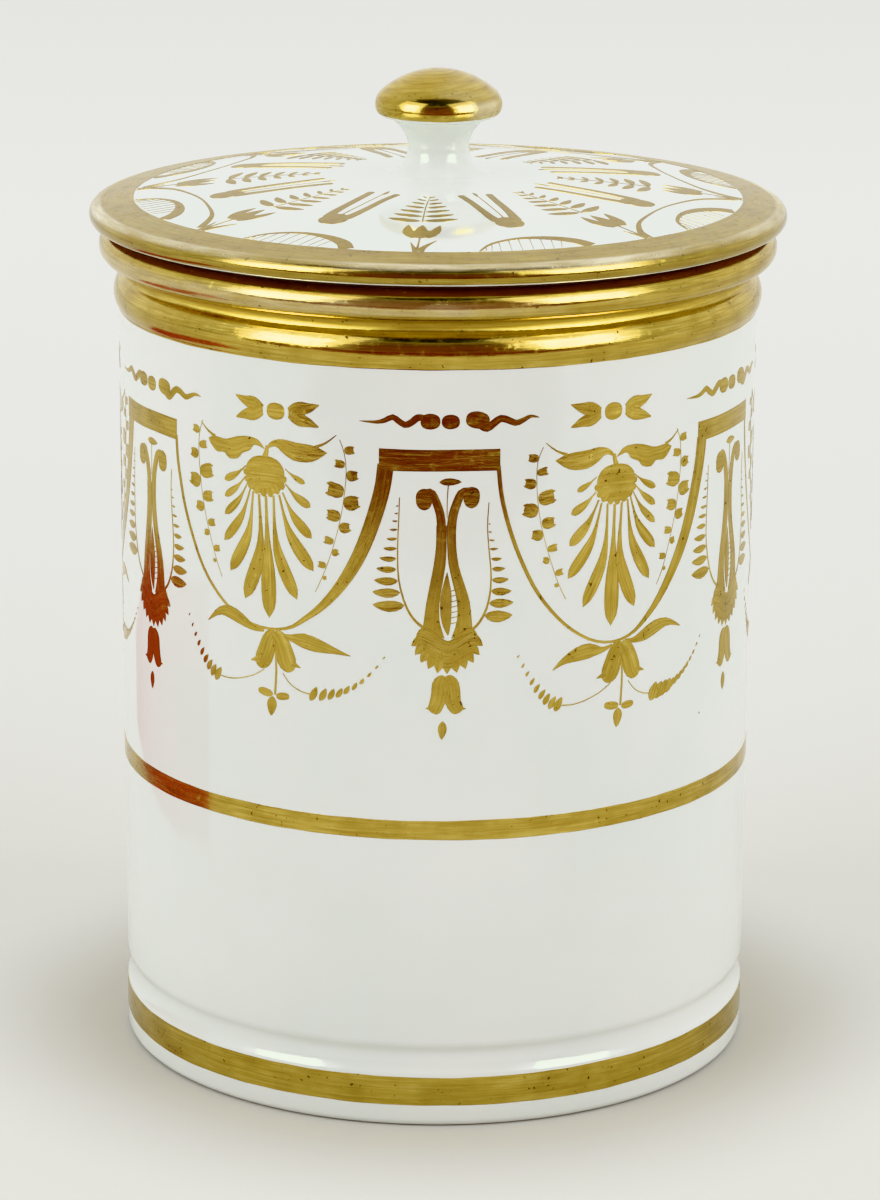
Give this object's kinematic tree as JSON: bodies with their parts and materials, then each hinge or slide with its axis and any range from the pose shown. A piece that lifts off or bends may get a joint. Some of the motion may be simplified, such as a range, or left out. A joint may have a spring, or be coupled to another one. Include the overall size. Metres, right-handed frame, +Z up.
{
  "type": "ointment pot",
  "caption": "Cylindrical porcelain apothecary pot with a loose domed lid and knob, moulded mouth and foot, and gilt bands, for keeping ointment.",
  "frame": {"origin": "centre of the foot ring, on the surface that the pot stands on", "axes": "+Z up along the turning axis; -Y towards the viewer of the picture"},
  "size_m": [0.1088, 0.1088, 0.1555],
  "materials": {
    "porcelain": "clear glossy glaze over white hard-paste porcelain",
    "gilding": "fired gold, burnished, with fine streaks and rubbed spots"
  },
  "bodies": {
    "pot": {"pot_body": "porcelain", "mouth_gilding": "gilding", "middle_band_gilding": "gilding", "foot_band_gilding": "gilding"},
    "cover": {"lid": "porcelain", "lid_knob": "porcelain", "lid_edge_gilding": "gilding", "knob_gilding": "gilding"}
  },
  "joints": [
    {"name": "lid_lift", "type": "slide", "parent": "pot", "child": "cover", "axis": [0, 0, 1], "range_m": [0, 0.07]}
  ]
}
